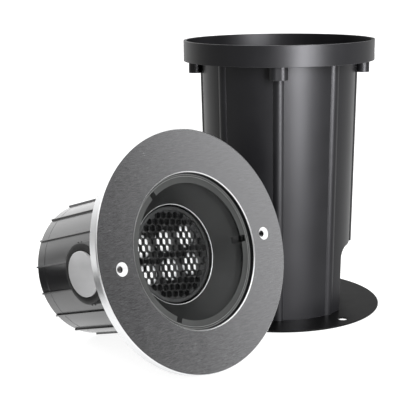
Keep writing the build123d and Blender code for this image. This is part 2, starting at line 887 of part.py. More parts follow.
def lamp_bezel():
    """The lamp's front ring, which screws over the cup and holds the louvre."""
    skirt_inner = lamp_radius + lamp_joint_clearance
    skirt_bottom = louvre_bottom - bezel_hold
    return turned(
        (bezel_opening_radius, -bezel_depth),
        (bezel_radius - bezel_edge, -bezel_depth),
        (bezel_radius, -bezel_depth - bezel_edge),
        (bezel_radius, skirt_bottom),
        (skirt_inner, skirt_bottom),
        (skirt_inner, louvre_bottom),
        (louvre_radius, louvre_bottom),
        (louvre_radius, louvre_top),
        (bezel_opening_radius, louvre_top),
    )


def honeycomb_louvre():
    """The honeycomb grid in front of the optics, its cells cut off at the rim."""
    open_radius = louvre_radius - louvre_rim
    reach = ceil(louvre_radius / (louvre_pitch * sin(radians(60))))
    cell = RegularPolygon((louvre_pitch - louvre_wall) / 2, 6, major_radius=False, rotation=30)
    cells = []
    for column in range(-2 * reach, 2 * reach + 1):
        for row in range(-reach, reach + 1):
            x = louvre_pitch * (column + (row % 2) / 2)
            y = louvre_pitch * row * sin(radians(60))
            if hypot(x, y) < open_radius - louvre_wall:
                cells.append(Pos(x, y) * cell)
    openings = Sketch() + cells & Circle(open_radius)
    grid = Circle(louvre_radius) - Rot(0, 0, louvre_turn) * openings
    return Pos(0, 0, louvre_bottom) * extrude(grid, louvre_thickness)


def lamp_optic(x, y):
    """One moulded optic: flat disc in front, tapering to its light source."""
    return Pos(x, y, 0) * turned(
        (0, optic_top),
        (optic_radius, optic_top),
        (optic_radius, optic_top - optic_holder),
        (optic_root_radius, optic_bottom),
        (0, optic_bottom),
    )


def optic_tray():
    """The dark tray that holds the optics level, on a skirt that stands on the board."""
    tray = turned(
        (0, optic_top),
        (inner_radius, optic_top),
        (inner_radius, board_top),
        (inner_radius - tray_skirt, board_top),
        (inner_radius - tray_skirt, optic_top - optic_holder),
        (0, optic_top - optic_holder),
    )
    for x, y in optic_centres:
        tray -= lamp_optic(x, y)
    return tray


def lamp_body():
    """The lamp's cup with its tilt bosses and the straight cooling fins behind it."""
    cup = turned(
        (cup_radius, louvre_bottom),
        (lamp_radius, louvre_bottom),
        (lamp_radius, sink_floor_bottom),
        (0, sink_floor_bottom),
        (0, board_bottom),
        (cup_radius, board_bottom),
    )
    fin_root = sink_floor_bottom + sink_floor / 4
    sink_rear_radius = lamp_radius - sink_taper
    envelope = turned(
        (0, fin_root),
        (lamp_radius, fin_root),
        (lamp_radius, sink_floor_bottom),
        (sink_rear_radius, sink_rear),
        (0, sink_rear),
    )
    fin_pitch = 2 * (sink_rear_radius - fin_thickness) / (fin_count - 1)
    for step in range(fin_count):
        x = (step - (fin_count - 1) / 2) * fin_pitch
        fin = block(fin_thickness, 2 * lamp_radius, fin_root, sink_rear, x)
        cup += fin & envelope
    for angle in pivot_angles:
        boss_root = cup_radius + lamp_wall / 4
        cup += cross_rod(trunnion_radius, boss_root, trunnion_reach, -tilt_depth, angle)
        cup -= rod(cup_radius, louvre_bottom, board_bottom)
        bore = pivot_radius + pivot_clearance
        cup -= cross_rod(bore, cup_radius / 2, trunnion_reach, -tilt_depth, angle)
    return cup


save("lamp_body", lamp_body(), place=rest)
save("lamp_bezel", lamp_bezel(), place=rest)
save("honeycomb_louvre", honeycomb_louvre(), place=rest)
save("lamp_optics", *[lamp_optic(x, y) for x, y in optic_centres], place=rest)
save("optic_tray", optic_tray(), place=rest)
save("led_board", rod(inner_radius, board_top, board_bottom), place=rest)
save(
    "led_chips",
    *[block(led_size, led_size, optic_bottom, board_top, x, y) for x, y in optic_centres],
    place=rest,
)

# ---------------------------------------------------------------------------------------------
# Driver tray
# ---------------------------------------------------------------------------------------------
tray_width = driver_width + 2 * driver_side_margin
tray_top = cap_joint + tray_leg
tray_bottom = tray_top - tray_thickness
tray_end = tray_length / 2
driver_x = driver_length / 2 + driver_margin - tray_end
terminal_x = tray_end - tray_foot - terminal_width / 2


def driver_tray():
    """The bent plate that carries the driver over the rear cap, with a foot at each end."""
    inner_end = tray_end - tray_thickness
    foot_end = tray_end - tray_foot
    foot_top = cap_joint + tray_thickness
    outline = Polyline(
        (-tray_end, 0, tray_top),
        (tray_end, 0, tray_top),
        (tray_end, 0, cap_joint),
        (foot_end, 0, cap_joint),
        (foot_end, 0, foot_top),
        (inner_end, 0, foot_top),
        (inner_end, 0, tray_bottom),
        (-inner_end, 0, tray_bottom),
        (-inner_end, 0, foot_top),
        (-foot_end, 0, foot_top),
        (-foot_end, 0, cap_joint),
        (-tray_end, 0, cap_joint),
        close=True,
    )
    tray = extrude(make_face(outline), tray_width / 2, both=True)
    for x in tray_screw_places:
        tray -= rod(tray_screw_radius, foot_top, cap_joint, x)
        tray -= rod(tray_screw_head_radius + inner_clearance, tray_top, tray_bottom, x)
    return tray


def tray_screw(x):
    """One screw through a foot of the tray into the rear cap."""
    foot_top = cap_joint + tray_thickness
    head = rod(tray_screw_head_radius, foot_top + tray_screw_head, foot_top, x)
    return head + rod(tray_screw_radius, foot_top, cap_joint - tray_screw_bite, x)


def driver_case():
    """The sealed driver, a moulded case with rounded upright edges."""
    outline = RectangleRounded(driver_length, driver_width, driver_corner)
    return Pos(driver_x, 0, tray_top) * extrude(outline, driver_height)


def terminal_block():
    """The terminal block beside the driver, with a wire hole for each pole."""
    top = tray_top + terminal_height
    body = block(terminal_width, terminal_length, top, tray_top, terminal_x)
    wire_hole = Rot(0, 90, 0) * Cylinder(terminal_hole_radius, terminal_width)
    for pole in range(terminal_poles):
        y = (pole - (terminal_poles - 1) / 2) * terminal_length / terminal_poles
        body -= Pos(terminal_x, y, tray_top + terminal_height / 3) * wire_hole
        body -= rod(terminal_hole_radius, top, top - terminal_height / 2, terminal_x, y)
    return body


save("driver_tray", driver_tray(), place=rest)
save("tray_screws", *[tray_screw(x) for x in tray_screw_places], place=rest)
save("driver_case", driver_case(), place=rest)
save("terminal_block", terminal_block(), place=rest)
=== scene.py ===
"""In-ground well light, dressed: finishes, fine moulded pieces, studio and camera.

Everything is in metres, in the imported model's frame: +Z up, the standing sleeve's base plate on
the floor at the origin, and the luminaire lying in front of it. The luminaire has axes of its own,
which are read from the record: their origin is the centre of the trim's face, `right` and `up` lie
in that face, and `out` points away from it.
"""

import json
import logging
import math
from abc import ABC, abstractmethod
from dataclasses import dataclass
from enum import Enum
from typing import Callable, Mapping, Sequence, Union

import bmesh
import bpy
from mathutils import Matrix, Vector


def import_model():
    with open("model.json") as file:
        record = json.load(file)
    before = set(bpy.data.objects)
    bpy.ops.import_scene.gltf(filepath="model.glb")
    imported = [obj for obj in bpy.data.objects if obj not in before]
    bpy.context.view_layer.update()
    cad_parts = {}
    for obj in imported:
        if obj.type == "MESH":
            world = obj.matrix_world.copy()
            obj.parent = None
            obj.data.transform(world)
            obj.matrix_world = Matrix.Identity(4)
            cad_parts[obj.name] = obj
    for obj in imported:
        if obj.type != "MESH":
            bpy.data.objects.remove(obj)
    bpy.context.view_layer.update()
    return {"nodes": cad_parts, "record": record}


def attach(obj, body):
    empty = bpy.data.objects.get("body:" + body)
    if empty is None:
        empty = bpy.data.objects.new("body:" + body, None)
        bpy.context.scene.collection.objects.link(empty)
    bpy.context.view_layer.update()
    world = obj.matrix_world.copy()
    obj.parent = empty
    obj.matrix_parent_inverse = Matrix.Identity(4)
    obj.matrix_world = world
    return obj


LOG = logging.getLogger("well_light")
MM = 0.001
TRIM_PLATE = 4.5 * MM  # thickness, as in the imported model

Triple = tuple[float, float, float]
Colour = Triple
Number = Union["Wire", float]
Paint = Colour | bpy.types.NodeSocket  # one colour, or the socket of one that varies

WHITE: Colour = (1.0, 1.0, 1.0)
BLACK: Colour = (0.0, 0.0, 0.0)
DARKER = 0.85  # how far a finish's tone strays from its plain colour
LIGHTER = 1.15
RUBBED_AND_LIT_PLASTIC = (1.5, 0.06)  # factor and lift that give a sharp edge its lighter colour: partly rubbed plastic, partly a painted edge highlight
# the same for metal: partly a rubbed bare edge, partly a painted edge highlight
RUBBED_AND_LIT_METAL = (1.3, 0.08)
NOISE_ROUGHNESS = 0.55  # how strong a noise's finer layers are
TONE_SPAN = (0.3, 0.7)  # the part of a noise's range that carries the tone
RUB_AND_HIGHLIGHT_SPAN = (0.02, 0.3)  # 1 less the cosine of the bend in the shading, from a plain edge to a fully lightened one (rubbing and painted edge highlight)


def shaded(colour: Colour, factor: float, lift: float = 0.0) -> Colour:
    """A colour times a factor, plus a lift, with no part over 1."""
    return tuple(min(1.0, factor * part + lift) for part in colour)


# ---------------------------------------------------------------------------------------------
# Places
# ---------------------------------------------------------------------------------------------
@dataclass(frozen=True)
class Axes:
    """A right-handed set of axes at a point, for pieces and patterns that lean.

    Attributes:
        origin: The point.
        right: The first axis, of unit length, as the others are.
        up: The second axis.
        out: The third axis, square to the other two.
    """

    origin: Vector
    right: Vector
    up: Vector
    out: Vector

    def matrix(self) -> Matrix:
        """The matrix that carries these axes' own coordinates to the model's frame."""
        turn = Matrix((self.right, self.up, self.out)).transposed().to_4x4()
        return Matrix.Translation(self.origin) @ turn


UPRIGHT = Axes(Vector((0, 0, 0)), Vector((1, 0, 0)), Vector((0, 1, 0)), Vector((0, 0, 1)))


def luminaire_axes(record: Mapping, trim_plate: float) -> Axes:
    """Reads the luminaire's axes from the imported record.

    Args:
        record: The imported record, with its mounts and joints.
        trim_plate: Thickness of the trim's plate, because the hole mount is on the plate's back.

    Returns:
        The axes at the centre of the trim's face.
    """
    mounts = {mount["name"]: mount for mount in record["mounts"]}
    joints = {joint["name"]: joint for joint in record["behaviour"]["joints"]}
    out = Vector(mounts["trim_holes"]["axis"]).normalized()
    up = Vector(joints["lamp_tilt"]["axis"]).normalized()
    centre = Vector(mounts["trim_holes"]["pos_m"]) + trim_plate * out
    return Axes(centre, up.cross(out), up, out)


# ---------------------------------------------------------------------------------------------
# Shader building
# ---------------------------------------------------------------------------------------------
class Wire:
    """A number in a shader. Python's operators on it add Math nodes."""

    def __init__(self, recipe: "Recipe", socket: bpy.types.NodeSocket) -> None:
        """Holds a socket.

        Args:
            recipe: The recipe that the socket belongs to.
            socket: The output socket that carries the number.
        """
        self.recipe = recipe
        self.socket = socket

    def math(self, operation: str, *values: Number, clamp: bool = False) -> "Wire":
        """Adds one Math node.

        Args:
            operation: Blender's name of the operation.
            values: The operands, in order.
            clamp: Whether the result is kept between 0 and 1.

        Returns:
            The node's result.
        """
        settings = {"operation": operation, "use_clamp": clamp}
        node = self.recipe.node("ShaderNodeMath", settings, dict(enumerate(values)))
        return Wire(self.recipe, node.outputs[0])

    def __add__(self, other: Number) -> "Wire":
        """Returns self + other."""
        return self.math("ADD", self, other)

    __radd__ = __add__

    def __sub__(self, other: Number) -> "Wire":
        """Returns self - other."""
        return self.math("SUBTRACT", self, other)

    def __rsub__(self, other: Number) -> "Wire":
        """Returns other - self."""
        return self.math("SUBTRACT", other, self)

    def __mul__(self, other: Number) -> "Wire":
        """Returns self * other."""
        return self.math("MULTIPLY", self, other)

    __rmul__ = __mul__

    def __truediv__(self, other: Number) -> "Wire":
        """Returns self / other."""
        return self.math("DIVIDE", self, other)

    def __pow__(self, other: Number) -> "Wire":
        """Returns self to a power."""
        return self.math("POWER", self, other)

    def clamped(self) -> "Wire":
        """Returns self kept between 0 and 1."""
        return self.math("ADD", self, 0.0, clamp=True)

    def fraction(self) -> "Wire":
        """Returns self less the whole number below it."""
        return self.math("FRACT", self)

    def centred(self, span: float) -> "Wire":
        """Returns self, which runs from 0 to 1, carried to a span with its middle at 0."""
        return (self - 0.5) * span

    def smooth_step(self, low: float, high: float) -> "Wire":
        """Adds a smooth step.

        Args:
            low: Where the step starts, and below which it is 0.
            high: Where the step ends, and above which it is 1.

        Returns:
            The step's height.
        """
        node = self.recipe.node(
            "ShaderNodeMapRange",
            {"interpolation_type": "SMOOTHSTEP"},
            {"Value": self, "From Min": low, "From Max": high},
        )
        return Wire(self.recipe, node.outputs["Result"])


class Recipe:
    """The node tree of one material or world."""

    def __init__(self, owner: bpy.types.Material | bpy.types.World) -> None:
        """Empties a node tree, ready to be filled.

        Args:
            owner: The material or world whose tree it is.
        """
        owner.use_nodes = True
        self.tree = owner.node_tree
        self.tree.nodes.clear()

    def node(
        self,
        kind: str,
        settings: Mapping[str, object] | None = None,
        inputs: Mapping[str | int, object] | None = None,
    ) -> bpy.types.Node:
        """Adds one node.

        Args:
            kind: Blender's type name of the node.
            settings: The node's own settings, which are set first.
            inputs: The sockets' values or links, by name or index.

        Returns:
            The new node.
        """
        node = self.tree.nodes.new(kind)
        for name, value in (settings or {}).items():
            setattr(node, name, value)
        for key, value in (inputs or {}).items():
            if isinstance(value, Wire):
                value = value.socket
            if isinstance(value, bpy.types.NodeSocket):
                self.tree.links.new(value, node.inputs[key])
            elif isinstance(value, tuple) and node.inputs[key].type == "RGBA":
                node.inputs[key].default_value = (*value, 1.0)
            else:
                node.inputs[key].default_value = value
        return node

    def coordinates(self, axes: Axes, stretch: Triple | None = None) -> bpy.types.NodeSocket:
        """Object coordinates, carried to a set of axes and stretched along them.

        Args:
            axes: The axes that the pattern follows.
            stretch: Pattern units to a metre along right, up and out, or none for one each.

        Returns:
            The vector socket of the coordinates.
        """
        inverse = axes.matrix().inverted()
        here = self.node("ShaderNodeTexCoord").outputs["Object"]
        turned = self.node(
            "ShaderNodeMapping",
            {"vector_type": "POINT"},
            {"Vector": here, "Location": inverse.translation, "Rotation": inverse.to_euler()},
        )
        if stretch is None:
            return turned.outputs["Vector"]
        scaled = self.node(
            "ShaderNodeVectorMath",
            {"operation": "MULTIPLY"},
            {0: turned.outputs["Vector"], 1: stretch},
        )
        return scaled.outputs["Vector"]

    def split(self, vector: bpy.types.NodeSocket) -> tuple[Wire, Wire, Wire]:
        """The three parts of a vector."""
        node = self.node("ShaderNodeSeparateXYZ", inputs={"Vector": vector})
        return tuple(Wire(self, socket) for socket in node.outputs)

    def noise(self, vector: bpy.types.NodeSocket, scale: float, detail: float = 2.0) -> Wire:
        """Adds smooth noise.

        Args:
            vector: The coordinates.
            scale: How many features there are to a coordinate unit.
            detail: How many finer layers it has.

        Returns:
            The noise, from 0 to 1.
        """
        size = {"Scale": scale, "Detail": detail, "Roughness": NOISE_ROUGHNESS}
        node = self.node("ShaderNodeTexNoise", inputs={"Vector": vector, **size})
        return Wire(self, node.outputs[0])

    def mix(self, factor: Number, first: Paint, second: Paint) -> bpy.types.NodeSocket:
        """Mixes two colours.

        Args:
            factor: How much of the second there is, from 0 to 1.
            first: The colour where the factor is 0.
            second: The colour where the factor is 1.

        Returns:
            The mixed colour's socket.
        """
        node = self.node(
            "ShaderNodeMix", {"data_type": "RGBA"}, {0: factor, 6: first, 7: second}
        )
        return node.outputs[2]

    def rounded(self, radius: float) -> bpy.types.NodeSocket:
        """The surface's normal with its sharp edges shaded as if they had a radius."""
        return self.node("ShaderNodeBevel", {"samples": 4}, {"Radius": radius}).outputs["Normal"]

    def facing(self, direction: Vector | bpy.types.NodeSocket) -> Wire:
        """How squarely the true surface faces a direction, from -1 to 1.

        Args:
            direction: A unit vector, or the socket of one.

        Returns:
            The cosine of the angle between them.
        """
        normal = self.node("ShaderNodeNewGeometry").outputs["Normal"]
        product = self.node(
            "ShaderNodeVectorMath", {"operation": "DOT_PRODUCT"}, {0: normal, 1: direction}
        )
        return Wire(self, product.outputs["Value"])

    def edge_wear(self, rounded: bpy.types.NodeSocket) -> Wire:
        """A mask near 1 on sharp edges, where the rounded and true normals differ, for rubbing and
        a painted edge highlight.
        """
        return (1.0 - self.facing(rounded)).smooth_step(*RUB_AND_HIGHLIGHT_SPAN)

    def bump(
        self, height: Wire, depth: float, strength: float, normal: bpy.types.NodeSocket
    ) -> bpy.types.NodeSocket:
        """Adds a fine relief.

        Args:
            height: The relief's height, from 0 to 1.
            depth: What a height of 1 stands for, in metres.
            strength: How strongly it shows, from 0 to 1.
            normal: The normal under it.

        Returns:
            The normal with the relief.
        """
        node = self.node(
            "ShaderNodeBump",
            inputs={"Height": height, "Distance": depth, "Strength": strength, "Normal": normal},
        )
        return node.outputs["Normal"]

    def principled(self, **inputs: object) -> bpy.types.Node:
        """A Principled shader; an underscore in a name stands for a space."""
        named = {name.replace("_", " "): value for name, value in inputs.items()}
        return self.node("ShaderNodeBsdfPrincipled", inputs=named)

    def surface(self, shader: bpy.types.NodeSocket, kind: str = "ShaderNodeOutputMaterial") -> None:
        """Ends the tree with its output."""
        self.node(kind, inputs={"Surface": shader})


def new_recipe(name: str) -> tuple[bpy.types.Material, Recipe]:
    """A new material and the recipe that fills it."""
    material = bpy.data.materials.new(name)
    return material, Recipe(material)


# ---------------------------------------------------------------------------------------------
# Finishes
# ---------------------------------------------------------------------------------------------
class Finish(ABC):
    """What the finishes share: each fills a new material's tree with its own shader."""

    @abstractmethod
    def shader(self, recipe: Recipe, axes: Axes) -> bpy.types.Node:
        """Adds the finish's nodes.

        Args:
            recipe: The empty tree to fill.
            axes: The axes that the finish's pattern follows.

        Returns:
            The last node, whose first output is the whole shader.
        """

    def material(self, name: str, axes: Axes) -> bpy.types.Material:
        """Builds the finish.

        Args:
            name: The material's name.
            axes: The axes that the finish's pattern follows.

        Returns:
            The material.
        """
        material, recipe = new_recipe(name)
        recipe.surface(self.shader(recipe, axes).outputs[0])
        return material


@dataclass(frozen=True)
class MouldedPlastic(Finish):
    """Injection-moulded plastic or rubber: eroded grain, flow marks, dulled patches, and edges
    lightened by rubbing and by a painted edge highlight.

    Attributes:
        colour: The plain colour.
        roughness: The mean roughness.
        grain: Size of the eroded grain.
        relief: Depth of the grain.
        edge: Radius that the sharp edges are shaded with.
        wear: How far the sharp edges take the lighter colour, partly rubbing and partly a painted
            edge highlight.
        specular: Strength of the plain reflection.
        coat: Weight of the glossy skin over it.
        coat_roughness: Roughness of that skin.
        rim_depth: How far behind the axes' origin a rolled bare rim runs.
        rim_reach: Half the width of that rim, or 0 where there is none.
        rim_fade: Where the rim fades out on each side, in parts of its reach.
        rim_colour: Colour of that rim.
    """

    colour: Colour
    roughness: float
    grain: float = 0.7 * MM
    relief: float = 0.02 * MM
    edge: float = 0.45 * MM
    wear: float = 0.25
    specular: float = 0.5
    coat: float = 0.0
    coat_roughness: float = 0.12
    rim_depth: float = 0.0
    rim_reach: float = 0.0
    rim_fade: tuple[float, float] = (0.9, 1.1)
    rim_colour: Colour = (0.85, 0.85, 0.86)

    def shader(self, recipe: Recipe, axes: Axes) -> bpy.types.Node:
        """Adds the nodes of the moulded skin.

        Args:
            recipe: The empty tree to fill.
            axes: The axes that the flow marks follow.

        Returns:
            The last node, whose first output is the whole shader.
        """
        place = recipe.coordinates(axes)
        flow = recipe.noise(recipe.coordinates(axes, (1.0, 1.0, 0.25)), scale=60.0, detail=3.0)
        patches = recipe.noise(place, scale=25.0)
        grain = recipe.noise(place, scale=1.0 / self.grain)
        rounded = recipe.rounded(self.edge)
        # sharp edges turn lighter, partly rubbing and partly a painted edge highlight
        rubbed_and_lit = recipe.edge_wear(rounded) * self.wear
        tone = recipe.mix(
            (patches * 0.6 + flow * 0.4).smooth_step(*TONE_SPAN),
            shaded(self.colour, DARKER),
            shaded(self.colour, LIGHTER),
        )
        colour = recipe.mix(rubbed_and_lit.clamped(), tone, shaded(self.colour, *RUBBED_AND_LIT_PLASTIC))
        roughness = (self.roughness + flow.centred(0.08) + patches.centred(0.10)).clamped()
        metallic: Number = 0.0
        if self.rim_reach:
            depth = recipe.split(place)[2] + self.rim_depth
            away = depth.math("ABSOLUTE", depth) / self.rim_reach
            metallic = 1.0 - away.smooth_step(*self.rim_fade)
            colour = recipe.mix(metallic, colour, self.rim_colour)
            roughness = roughness * (1.0 - metallic * 0.5)
        return recipe.principled(
            Base_Color=colour,
            Metallic=metallic,
            Roughness=roughness,
            Normal=recipe.bump(grain, self.relief, strength=0.6, normal=rounded),
            Specular_IOR_Level=self.specular,
            Coat_Weight=self.coat,
            Coat_Roughness=self.coat_roughness,
        )


@dataclass(frozen=True)
class BrushedSteel(Finish):
    """Rolled stainless sheet, brushed along `right`, with turned edges, and painted shade on the
    walls of the opening and the holes.

    Attributes:
        colour: The plain colour.
        roughness: The mean roughness on the brushed face.
        edge_colour: Colour of the turned edges.
        polish: Roughness of the turned edges.
        wall_colour: Colour of the walls of the opening and the holes, near black: painted shade for
            the shadow inside them.
        rim_radius: Radius outside which a wall is the turned rim, which gets no painted shade.
        sunk_colour: Colour of the countersinks, which are cut last and left bright.
        sunk_radius: Radius outside which a slope is a countersink.
        stroke: Length of a brush mark.
        hair: Width of a brush mark.
        dark: How dark the darkest marks are, next to the plain colour.
        light: How light the lightest marks are.
        edge: Radius that the sharp edges are shaded with.
        cut: How much rougher the cut walls and the countersinks are than the turned edges.
        relief: Depth of the brush marks.
        flat_span: Cosines of the angle to `out` over which a slope becomes the flat face.
        wall_span: Cosines over which a wall stops counting as one.
        slope_start: Cosines over which a countersink's slope begins.
        slope_end: Cosines over which it ends.
    """

    colour: Colour
    roughness: float
    edge_colour: Colour = (0.74, 0.745, 0.75)
    polish: float = 0.36
    wall_colour: Colour = (0.030, 0.030, 0.032)
    rim_radius: float = 95.0 * MM
    sunk_colour: Colour = (0.92, 0.92, 0.92)
    sunk_radius: float = 70.0 * MM
    stroke: float = 3.5 * MM
    hair: float = 0.26 * MM
    dark: float = 0.82
    light: float = 1.14
    edge: float = 0.55 * MM
    cut: float = 0.3
    relief: float = 0.010 * MM
    flat_span: tuple[float, float] = (0.85, 0.98)
    wall_span: tuple[float, float] = (0.2, 0.5)
    slope_start: tuple[float, float] = (0.5, 0.6)
    slope_end: tuple[float, float] = (0.8, 0.85)

    def shader(self, recipe: Recipe, axes: Axes) -> bpy.types.Node:
        """Adds the nodes of the brushed face and of the edges and walls cut into it, with painted
        shade on those walls.

        Args:
            recipe: The empty tree to fill.
            axes: The axes of the brushed face, whose marks run along `right`.

        Returns:
            The last node, whose first output is the whole shader.
        """
        marks = recipe.coordinates(axes, (1.0 / self.stroke, 1.0 / self.hair, 1.0 / self.hair))
        fine = recipe.noise(marks, scale=1.0, detail=3.0)
        coarse = recipe.noise(marks, scale=0.35)
        place = recipe.coordinates(axes)
        clouds = recipe.noise(place, scale=18.0)
        rounded = recipe.rounded(self.edge)
        facing = recipe.facing(axes.out)
        flat = facing.smooth_step(*self.flat_span)
        right, up, _ = recipe.split(place)
        radius = (right * right + up * up) ** 0.5
        inside = 1.0 - radius.smooth_step(self.rim_radius - MM, self.rim_radius)
        upright = 1.0 - facing.math("ABSOLUTE", facing).smooth_step(*self.wall_span)
        wall = upright * inside
        slope = facing.smooth_step(*self.slope_start) * (1.0 - facing.smooth_step(*self.slope_end))
        sunk = slope * inside * radius.smooth_step(self.sunk_radius, self.sunk_radius + MM)
        brushed = recipe.mix(
            (fine * 0.55 + coarse * 0.45).smooth_step(*TONE_SPAN),
            shaded(self.colour, self.dark),
            shaded(self.colour, self.light),
        )
        # painted shade: the walls of the opening and the holes take a near-black colour
        turned = recipe.mix(wall, self.edge_colour, self.wall_colour)
        turned = recipe.mix(sunk, turned, self.sunk_colour)
        texture = fine.centred(0.20) + coarse.centred(0.08) + clouds.centred(0.04)
        polish = self.polish + wall * self.cut + sunk * self.cut
        return recipe.principled(
            Base_Color=recipe.mix(flat, turned, brushed),
            Metallic=1.0,
            Roughness=(polish + flat * (self.roughness - self.polish + texture)).clamped(),
            Normal=recipe.bump(fine * flat, self.relief, strength=0.5, normal=rounded),
        )


@dataclass(frozen=True)
class MachinedMetal(Finish):
    """Turned, cast or plated metal with fine tool marks round `out`.

    Attributes:
        colour: The plain colour.
        roughness: The mean roughness.
        pitch: Distance between tool marks.
        metallic: How metallic the skin is, 1 for bare metal and less for anodised or painted.
        edge: Radius that the sharp edges are shaded with.
        wear: How far the sharp edges take the lighter colour, partly rubbing and partly a painted
            edge highlight.
        relief: Depth of the tool marks.
    """

    colour: Colour
    roughness: float
    pitch: float = 0.35 * MM
    metallic: float = 1.0
    edge: float = 0.3 * MM
    wear: float = 0.6
    relief: float = 0.010 * MM

    def shader(self, recipe: Recipe, axes: Axes) -> bpy.types.Node:
        """Adds the nodes of the turned or cast skin.

        Args:
            recipe: The empty tree to fill.
            axes: The axes whose `out` the tool marks run round.

        Returns:
            The last node, whose first output is the whole shader.
        """
        place = recipe.coordinates(axes)
        right, up, out = recipe.split(place)
        radius = (right * right + up * up) ** 0.5
        rings = recipe.node(
            "ShaderNodeCombineXYZ", inputs={"X": radius / self.pitch, "Y": out / self.pitch}
        )
        marks = recipe.noise(rings.outputs[0], scale=1.0)
        clouds = recipe.noise(place, scale=60.0, detail=3.0)
        rounded = recipe.rounded(self.edge)
        # sharp edges turn lighter, partly rubbing and partly a painted edge highlight
        rubbed_and_lit = recipe.edge_wear(rounded)
        tone = recipe.mix(
            (marks * 0.5 + clouds * 0.5).smooth_step(*TONE_SPAN),
            shaded(self.colour, DARKER),
            shaded(self.colour, LIGHTER),
        )
        return recipe.principled(
            Base_Color=recipe.mix(rubbed_and_lit * self.wear, tone, shaded(self.colour, *RUBBED_AND_LIT_METAL)),
            Metallic=self.metallic,
            Roughness=(self.roughness + marks.centred(0.12) + clouds.centred(0.12)).clamped(),
            Normal=recipe.bump(marks, self.relief, strength=0.4, normal=rounded),
        )


@dataclass(frozen=True)
class ClearGlass(Finish):
    """Clear glass that is seen straight through, with the reflections of its front and back.

    Attributes:
        tint: Colour of the light that passes.
        ior: Refractive index, for how the reflection grows with the angle.
        roughness: Roughness of the reflection.
        gloss: How much of the full reflection there is, less than 1 on coated glass.
    """

    tint: Colour = (0.945, 0.95, 0.948)
    ior: float = 1.5
    roughness: float = 0.03
    gloss: float = 0.12

    def shader(self, recipe: Recipe, axes: Axes) -> bpy.types.Node:
        """Adds the nodes of the clear pane and of the reflections on it.

        Args:
            recipe: The empty tree to fill.
            axes: The axes that the faint smears of handling follow.

        Returns:
            The last node, whose first output is the whole shader.
        """
        smears = recipe.noise(recipe.coordinates(axes, (1.0, 0.35, 1.0)), scale=45.0, detail=3.0)
        grazing = recipe.node("ShaderNodeFresnel", inputs={"IOR": self.ior})
        clear = recipe.node("ShaderNodeBsdfTransparent", inputs={"Color": self.tint})
        sheen = recipe.principled(
            Base_Color=BLACK,
            Metallic=0.0,
            Roughness=self.roughness + smears * 0.06,
            Specular_IOR_Level=1.0,
            Coat_Weight=1.0,
            Coat_Roughness=0.02,
        )
        share = Wire(recipe, grazing.outputs[0]) * self.gloss
        both = {0: share, 1: clear.outputs[0], 2: sheen.outputs[0]}
        return recipe.node("ShaderNodeMixShader", inputs=both)


@dataclass(frozen=True)
class LitOptic(Finish):
    """Clear moulded optics whose discs gather bright light, fading towards their rims.

    Attributes:
        pitch: Distance between neighbouring optics, along both rows and columns.
        bright_radius: Radius that is fully bright.
        fade_radius: Radius by which the brightness has gone.
        strength: Brightness of the middle.
        ripple: Distance over which the moulded rings' wave turns by one radian.
        trough: Colour between the moulded rings.
        crest: Colour on the rings.
        unlit: Faint glow away from the discs.
    """

    pitch: float
    bright_radius: float = 5.6 * MM
    fade_radius: float = 10.2 * MM
    strength: float = 1.0
    ripple: float = 0.25 * MM
    trough: Colour = (0.55, 0.56, 0.58)
    crest: Colour = (0.78, 0.79, 0.80)
    unlit: Colour = (0.06, 0.06, 0.065)

    def shader(self, recipe: Recipe, axes: Axes) -> bpy.types.Node:
        """Adds the nodes of the moulded optics and of the light that they gather.

        Args:
            recipe: The empty tree to fill.
            axes: The luminaire's axes, on which the middle column and the gap between rows cross.

        Returns:
            The last node, whose first output is the whole shader.
        """
        right, up, _ = recipe.split(recipe.coordinates(axes))
        across = (right / self.pitch + 0.5).fraction().centred(self.pitch)
        along = (up / self.pitch).fraction().centred(self.pitch)
        radius = (across * across + along * along) ** 0.5
        glow = 1.0 - radius.smooth_step(self.bright_radius, self.fade_radius)
        wave = radius / self.ripple
        rings = wave.math("SINE", wave) * 0.5 + 0.5
        return recipe.principled(
            Base_Color=recipe.mix(rings, self.trough, self.crest),
            Roughness=0.12 + rings * 0.08,
            Emission_Color=recipe.mix(glow, self.unlit, WHITE),
            Emission_Strength=self.strength,
            Coat_Weight=0.6,
        )


